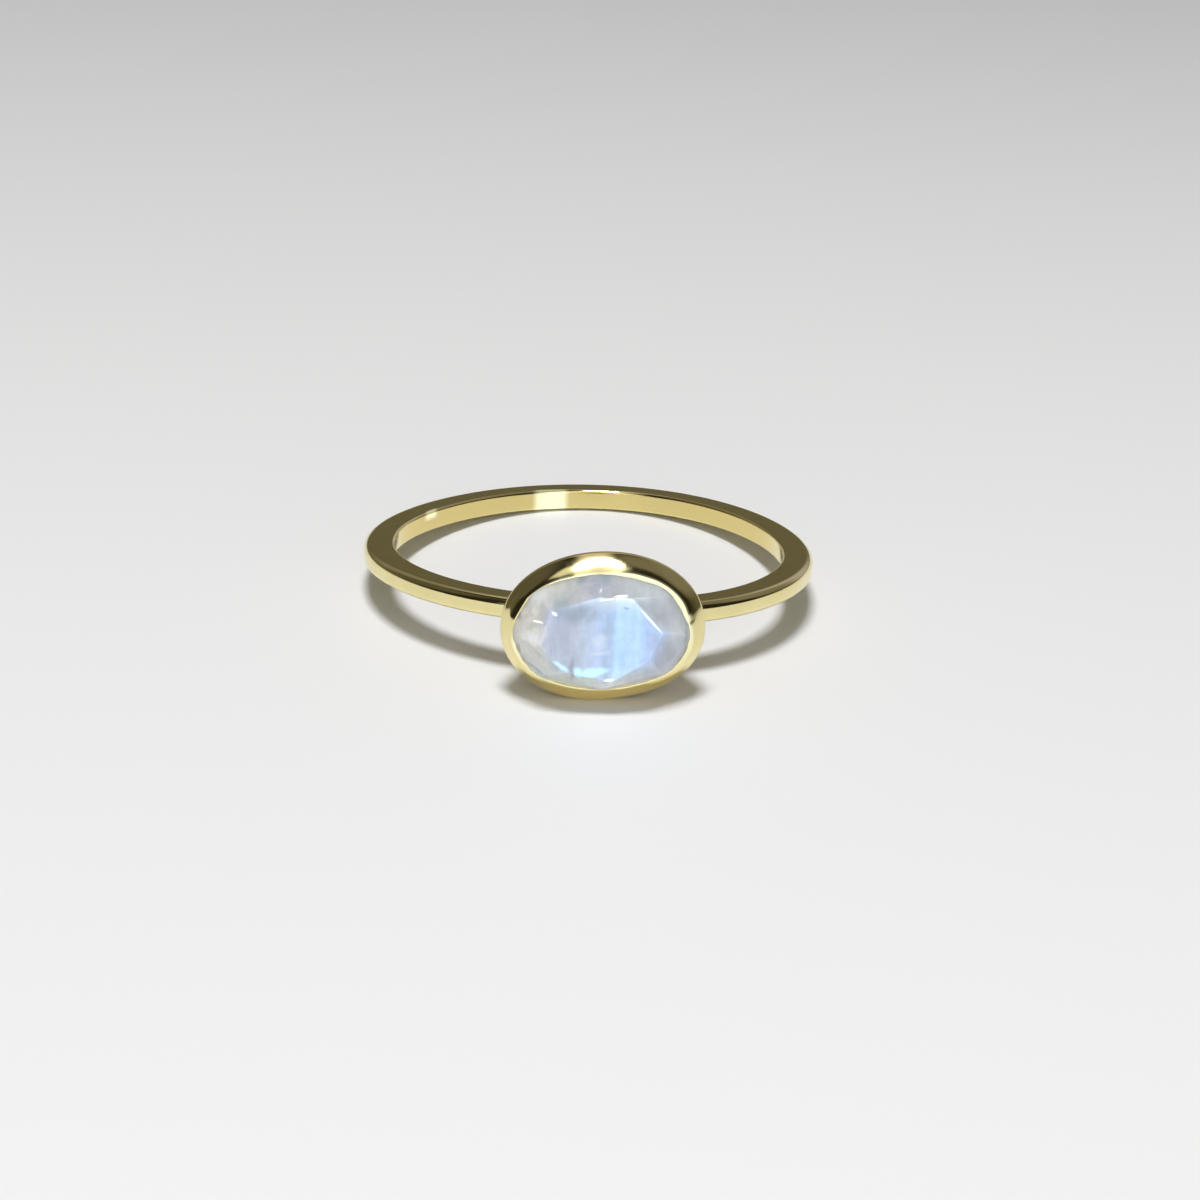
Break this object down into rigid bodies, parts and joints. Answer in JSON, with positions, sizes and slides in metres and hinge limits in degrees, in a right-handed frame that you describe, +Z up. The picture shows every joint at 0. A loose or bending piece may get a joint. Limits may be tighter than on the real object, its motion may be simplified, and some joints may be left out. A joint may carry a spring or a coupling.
{
  "type": "moonstone ring",
  "caption": "Thin gold finger ring with an oval bezel setting that holds a faceted, milky blue moonstone.",
  "frame": {"origin": "on the surface that the ring lies on, below the middle of its outline", "axes": "+Z up from the surface, -Y towards the side with the setting, +X to the right of it. The ring lies on its side, its plane leaning back by 7.8 degrees with the setting raised"},
  "size_m": [0.0198, 0.0231, 0.0063],
  "materials": {
    "gold": "polished",
    "moonstone": "polished, translucent"
  },
  "bodies": {
    "root": {"gold_ring": "gold", "moonstone": "moonstone"}
  },
  "joints": []
}
